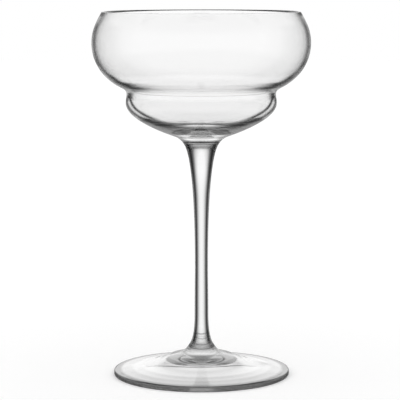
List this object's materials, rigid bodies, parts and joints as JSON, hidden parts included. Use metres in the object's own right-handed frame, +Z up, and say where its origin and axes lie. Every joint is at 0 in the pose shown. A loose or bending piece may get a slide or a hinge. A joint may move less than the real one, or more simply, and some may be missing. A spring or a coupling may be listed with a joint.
{
  "type": "nick and nora glass",
  "caption": "Clear stemmed cocktail glass with a wide bowl in two rounded steps, a slim solid stem flared at both ends, and a shallow round foot.",
  "frame": {"origin": "centre of the circle that the foot stands on", "axes": "+Z up along the glass's own axis, from the foot to the mouth; X and Y alike, as the glass is round"},
  "size_m": [0.0954, 0.0954, 0.16],
  "materials": {
    "bowl_glass": "clear polished",
    "stem_glass": "clear polished",
    "foot_glass": "clear polished"
  },
  "bodies": {
    "root": {"bowl": "bowl_glass", "stem": "stem_glass", "foot": "foot_glass"}
  },
  "joints": []
}
